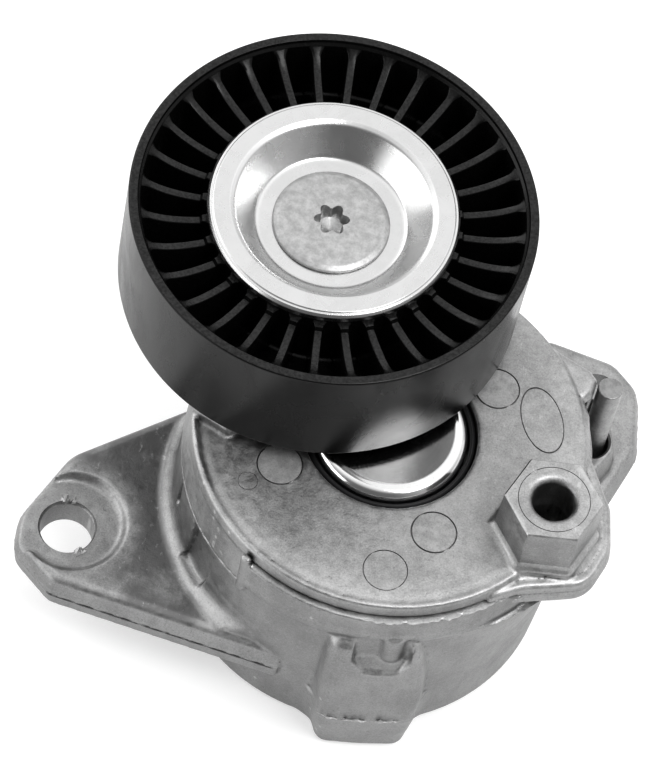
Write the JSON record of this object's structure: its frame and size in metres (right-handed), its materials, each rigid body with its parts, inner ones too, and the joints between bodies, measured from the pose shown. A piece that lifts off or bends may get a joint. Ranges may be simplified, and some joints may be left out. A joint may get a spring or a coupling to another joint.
{
  "type": "belt tensioner idler",
  "caption": "Sprung belt tensioner: a cast spring cup with two bolt ears, a cast swing arm with a spanner hexagon, a smooth ribbed idler pulley with a dished cover, and a lock pin.",
  "frame": {"origin": "on the swing arm's pivot axis, at the cup's rear face", "axes": "+Z along the pivot axis towards the pulley's front face, +X towards the side of the cup with the lock pin, +Y towards the pulley"},
  "size_m": [0.1135, 0.1056, 0.0808],
  "materials": {
    "cast_aluminium": "as cast, mottled satin grey, brighter at trimmed edges",
    "cast_aluminium_arm": "as cast, fine-grained satin",
    "glass_filled_plastic": "black, glass-fibre filled, belt face slightly polished",
    "zinc_plated_steel": "bright zinc, faint turning lines",
    "bright_plated_steel": "bright plated, soft reflections",
    "phosphated_steel": "dull grey, fine grain",
    "bearing_steel": "ground and polished",
    "spring_steel": "dark coated",
    "pin_steel": "drawn, with a rough cut end",
    "ground_steel": "ground",
    "seal_rubber": "matt black",
    "bushing_polymer": "dark, matt",
    "natural_nylon": "off-white, matt"
  },
  "bodies": {
    "base": {"base_housing": "cast_aluminium", "pivot_shaft": "ground_steel", "front_thrust_plate": "phosphated_steel", "pivot_cap": "bright_plated_steel", "rear_thrust_washer": "natural_nylon", "spring_seat": "natural_nylon", "torsion_spring": "spring_steel"},
    "arm": {"tensioner_arm": "cast_aluminium_arm", "pivot_bushing": "bushing_polymer", "front_thrust_washer": "natural_nylon", "seal_ring": "seal_rubber", "damping_shoe": "bushing_polymer", "rear_dust_shield": "zinc_plated_steel", "pulley_spacer": "ground_steel", "bearing_inner_ring": "bearing_steel", "front_dust_cover": "zinc_plated_steel", "pulley_bolt": "phosphated_steel"},
    "pulley": {"pulley": "glass_filled_plastic", "bearing_outer_ring": "bearing_steel", "bearing_seal_front": "seal_rubber", "bearing_seal_rear": "seal_rubber"},
    "cage": {"ball_cage": "bushing_polymer", "ball_1": "bearing_steel", "ball_2": "bearing_steel", "ball_3": "bearing_steel", "ball_4": "bearing_steel", "ball_5": "bearing_steel", "ball_6": "bearing_steel", "ball_7": "bearing_steel", "ball_8": "bearing_steel"},
    "pin": {"lock_pin": "pin_steel"}
  },
  "joints": [
    {"name": "arm_swing", "type": "hinge", "parent": "base", "child": "arm", "pos_m": [0, 0, 0.04], "axis": [0, 0, 1], "range_deg": [-36, 0], "stiffness_Nm_per_rad": 13.6, "springref_deg": 69.9, "deforming": ["torsion_spring"]},
    {"name": "pulley_spin", "type": "hinge", "parent": "arm", "child": "pulley", "pos_m": [-0.0196, 0.0263, 0.0666], "axis": [0, 0, 1], "continuous": true},
    {"name": "cage_orbit", "type": "hinge", "parent": "arm", "child": "cage", "pos_m": [-0.0196, 0.0263, 0.0666], "axis": [0, 0, 1], "continuous": true},
    {"name": "lock_pin_pull", "type": "slide", "parent": "base", "child": "pin", "axis": [0, 0, 1], "range_m": [0, 0.04]}
  ],
  "couplings": [
    {"joint": "cage_orbit", "follows": "pulley_spin", "ratio": 0.6182}
  ]
}
